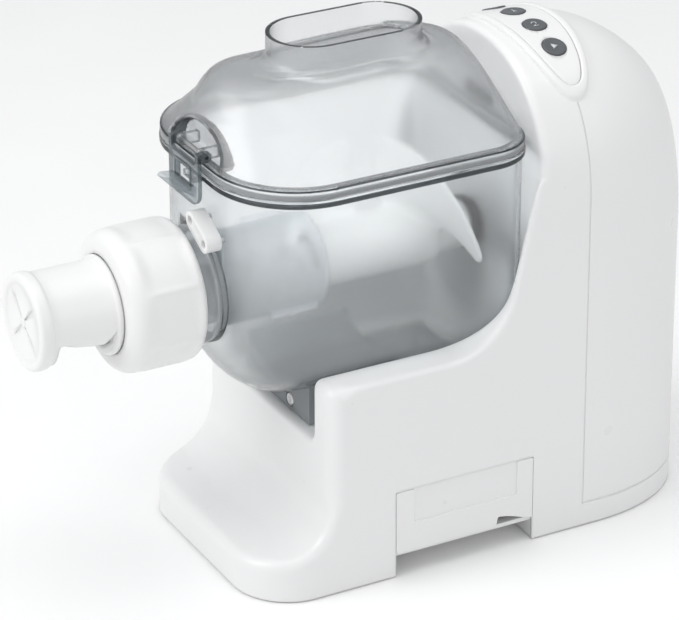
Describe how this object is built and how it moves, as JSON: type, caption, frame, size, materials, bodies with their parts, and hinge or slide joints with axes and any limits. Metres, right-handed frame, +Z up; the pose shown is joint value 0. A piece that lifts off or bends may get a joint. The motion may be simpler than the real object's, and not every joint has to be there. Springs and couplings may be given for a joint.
{
  "type": "electric pasta maker",
  "caption": "Electric pasta maker with a clear mixing bowl, a lid with a filling chute, a screw that pushes dough through a nozzle, push buttons and a storage drawer.",
  "frame": {"origin": "on the ground, in the middle of the length and the width", "axes": "+X towards the drawer, -Y towards the nozzle, +Z up"},
  "size_m": [0.159, 0.404, 0.3105],
  "materials": {
    "housing": "glossy moulded white",
    "drawer": "glossy moulded white",
    "rubber": "matte",
    "screw_steel": "plated",
    "button": "smooth",
    "board": "solder mask",
    "frame_alloy": "cast",
    "bearing_steel": "ground",
    "dark_plastic": "fine grain",
    "motor_steel": "zinc plated",
    "brass": "satin",
    "copper": "wound wire under varnish",
    "gear_plastic": "natural",
    "clear_bowl": "clear grey-tinted plastic",
    "tinted_foot": "translucent grey",
    "frosted": "frosted, half clear",
    "white_parts": "smooth moulded white",
    "clear_lid": "clear grey-tinted plastic",
    "clear_latch": "clear grey-tinted plastic"
  },
  "bodies": {
    "housing": {"front_housing": "housing", "rear_cover": "housing", "bottom_plate": "housing", "rubber_feet": "rubber", "base_screws": "screw_steel", "cover_screws": "screw_steel", "control_bezel": "housing", "control_plate": "housing", "button_board": "board", "gear_frame": "frame_alloy", "gear_plate": "frame_alloy", "shaft_bearings": "bearing_steel", "shaft_seal": "dark_plastic", "idler_pin": "screw_steel", "motor_can": "motor_steel", "power_board": "board", "power_inlet": "dark_plastic", "inlet_pins": "brass", "interlock_switch": "dark_plastic", "drawer_rails": "housing"},
    "button_1": {"button_1": "button"},
    "button_2": {"button_2": "button"},
    "button_3": {"button_3": "button"},
    "button_4": {"button_4": "button"},
    "motor_rotor": {"motor_shaft": "screw_steel", "motor_pinion": "brass", "motor_armature": "copper", "cooling_fan": "dark_plastic"},
    "idler": {"idler_gear": "gear_plastic"},
    "drive": {"output_gear": "gear_plastic", "drive_shaft": "bearing_steel"},
    "plunger": {"interlock_plunger": "dark_plastic"},
    "drawer": {"drawer": "drawer"},
    "bowl": {"mixing_bowl": "clear_bowl", "bowl_foot": "tinted_foot", "foot_screw": "screw_steel", "bowl_bush": "dark_plastic", "extrusion_barrel": "frosted", "barrel_seal": "rubber", "barrel_clip": "white_parts", "clip_screws": "screw_steel", "pasta_die": "white_parts"},
    "nut": {"retaining_nut": "white_parts"},
    "hood": {"cutter_hood": "white_parts"},
    "agitator": {"auger": "white_parts", "mixing_paddle": "white_parts"},
    "lid": {"lid": "clear_lid", "lid_gasket": "rubber", "latch_pin": "screw_steel"},
    "latch": {"lid_latch": "clear_latch"}
  },
  "joints": [
    {"name": "button_1_press", "type": "slide", "parent": "housing", "child": "button_1", "axis": [0.3956, 0, -0.9184], "range_m": [0, 0.0015], "stiffness_N_per_m": 400},
    {"name": "button_2_press", "type": "slide", "parent": "housing", "child": "button_2", "axis": [0.1124, 0, -0.9937], "range_m": [0, 0.0015], "stiffness_N_per_m": 400},
    {"name": "button_3_press", "type": "slide", "parent": "housing", "child": "button_3", "axis": [-0.1124, 0, -0.9937], "range_m": [0, 0.0015], "stiffness_N_per_m": 400},
    {"name": "button_4_press", "type": "slide", "parent": "housing", "child": "button_4", "axis": [-0.3956, 0, -0.9184], "range_m": [0, 0.0015], "stiffness_N_per_m": 400},
    {"name": "drive_spin", "type": "hinge", "parent": "housing", "child": "drive", "pos_m": [0, 0.1, 0.1735], "axis": [0, 1, 0], "continuous": true},
    {"name": "idler_spin", "type": "hinge", "parent": "housing", "child": "idler", "pos_m": [0, 0.1, 0.121], "axis": [0, 1, 0], "continuous": true},
    {"name": "motor_spin", "type": "hinge", "parent": "housing", "child": "motor_rotor", "pos_m": [0, 0.13, 0.0835], "axis": [0, 1, 0], "continuous": true},
    {"name": "plunger_press", "type": "slide", "parent": "housing", "child": "plunger", "axis": [0, 1, 0], "range_m": [0, 0.0025], "stiffness_N_per_m": 250},
    {"name": "drawer_slide", "type": "slide", "parent": "housing", "child": "drawer", "axis": [1, 0, 0], "range_m": [0, 0.07]},
    {"name": "bowl_slide", "type": "slide", "parent": "housing", "child": "bowl", "axis": [0, -1, 0], "range_m": [0, 0.06]},
    {"name": "nut_turn", "type": "hinge", "parent": "bowl", "child": "nut", "pos_m": [0, -0.125, 0.1735], "axis": [0, 1, 0], "range_deg": [0, 540]},
    {"name": "hood_turn", "type": "hinge", "parent": "bowl", "child": "hood", "pos_m": [0, -0.17, 0.1735], "axis": [0, 1, 0], "range_deg": [-90, 90]},
    {"name": "auger_spin", "type": "hinge", "parent": "bowl", "child": "agitator", "pos_m": [0, 0, 0.1735], "axis": [0, 1, 0], "continuous": true},
    {"name": "lid_lift", "type": "slide", "parent": "bowl", "child": "lid", "axis": [0, 0, 1], "range_m": [0, 0.09]},
    {"name": "latch_swing", "type": "hinge", "parent": "lid", "child": "latch", "pos_m": [0, -0.0965, 0.2565], "axis": [-1, 0, 0], "range_deg": [0, 80]}
  ],
  "couplings": [
    {"joint": "idler_spin", "follows": "drive_spin", "ratio": -4},
    {"joint": "motor_spin", "follows": "drive_spin", "ratio": 16},
    {"joint": "auger_spin", "follows": "drive_spin", "ratio": 1}
  ]
}
